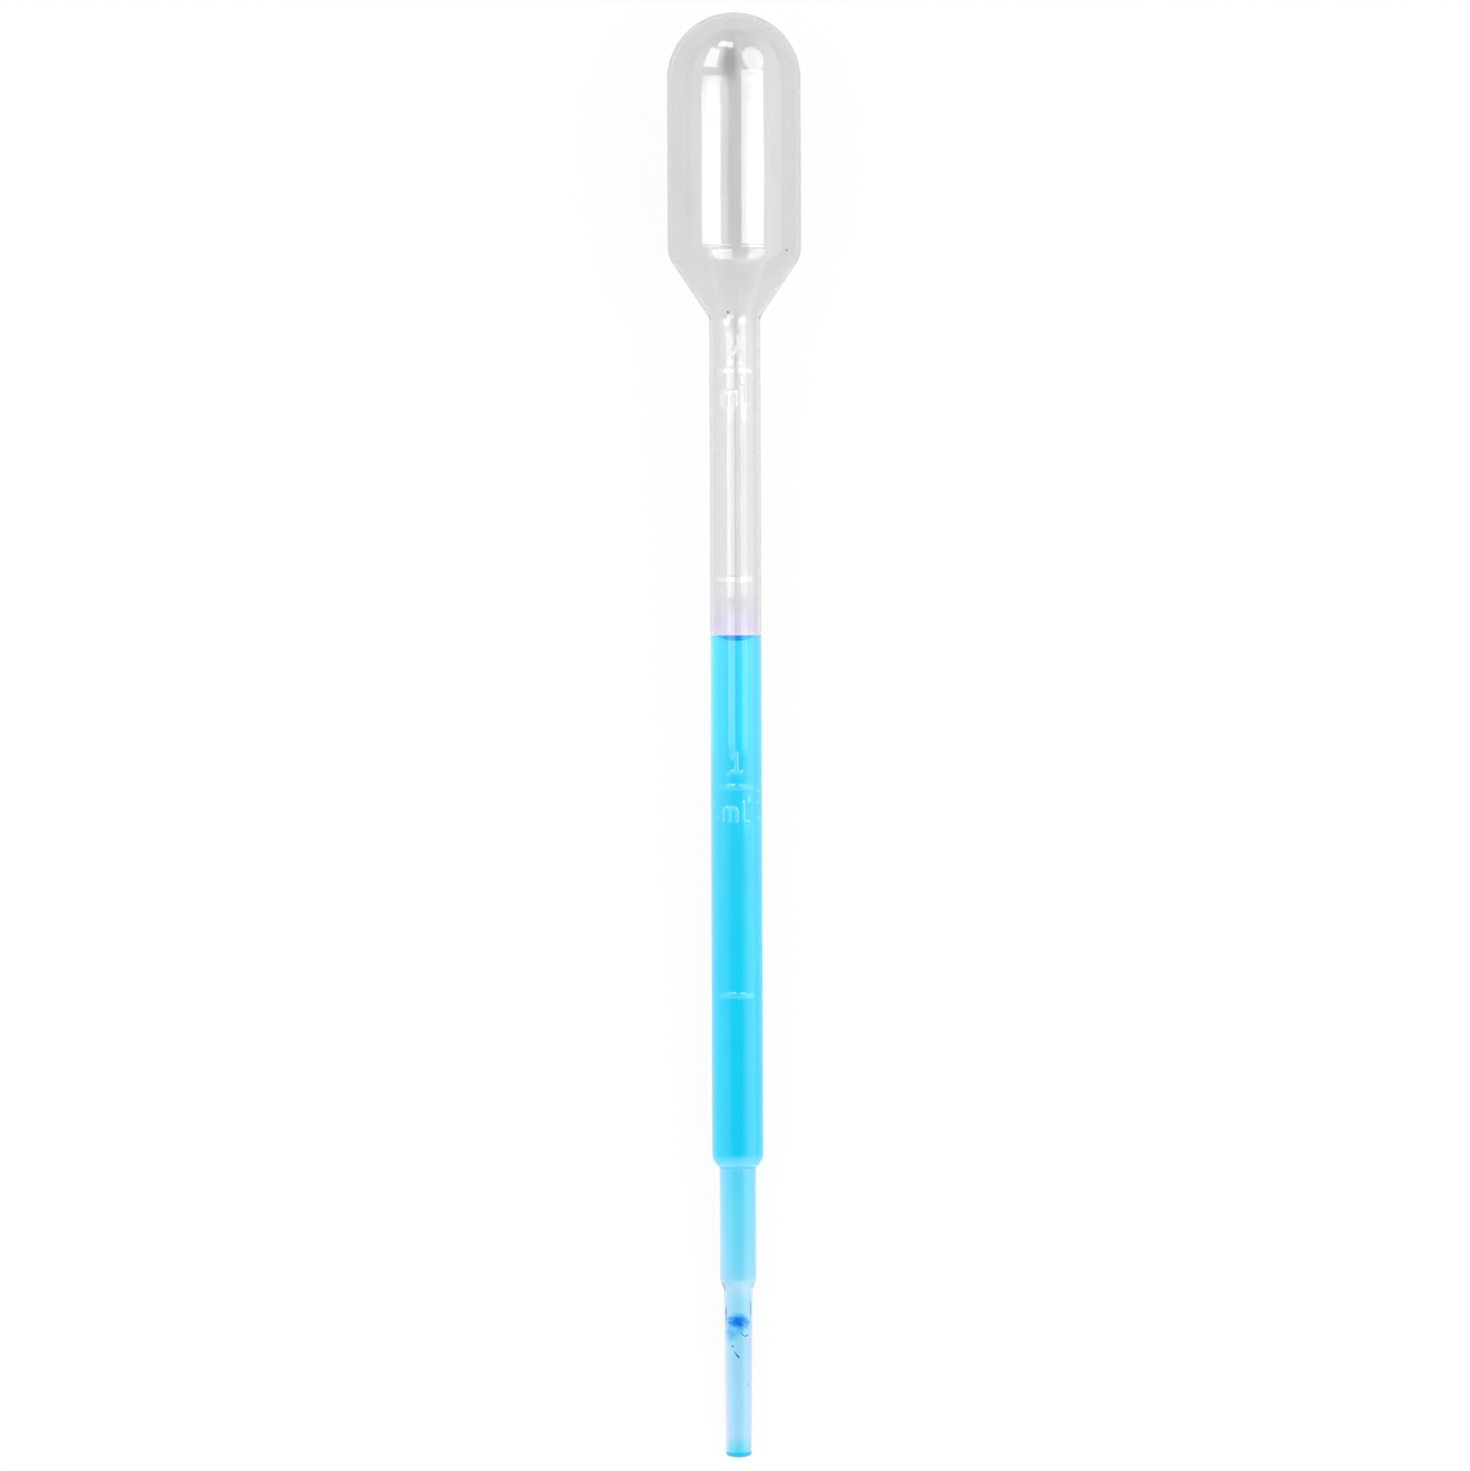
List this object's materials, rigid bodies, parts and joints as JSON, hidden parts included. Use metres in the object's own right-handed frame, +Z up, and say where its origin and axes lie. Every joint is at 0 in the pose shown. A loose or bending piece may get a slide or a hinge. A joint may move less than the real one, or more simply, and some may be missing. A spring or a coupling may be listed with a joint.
{
  "type": "plastic dropper pipette",
  "caption": "One-piece translucent transfer pipette with a squeeze bulb, graduated stem and stepped tapered tip, holding a column of blue liquid.",
  "frame": {"origin": "middle of the outline's length and width, on the surface that the pipette lies on", "axes": "+Y along the tube towards the bulb, +X across it, +Z up, with the graduations on the upper side; the tube's axis climbs 2.57 degrees towards the bulb, because the wider bulb lifts that end"},
  "size_m": [0.0148, 0.1598, 0.0156],
  "materials": {
    "translucent_plastic": "satin",
    "blue_liquid": "gloss",
    "dye_residue": "matte"
  },
  "bodies": {
    "root": {"pipette_body": "translucent_plastic", "liquid": "blue_liquid"}
  },
  "joints": []
}
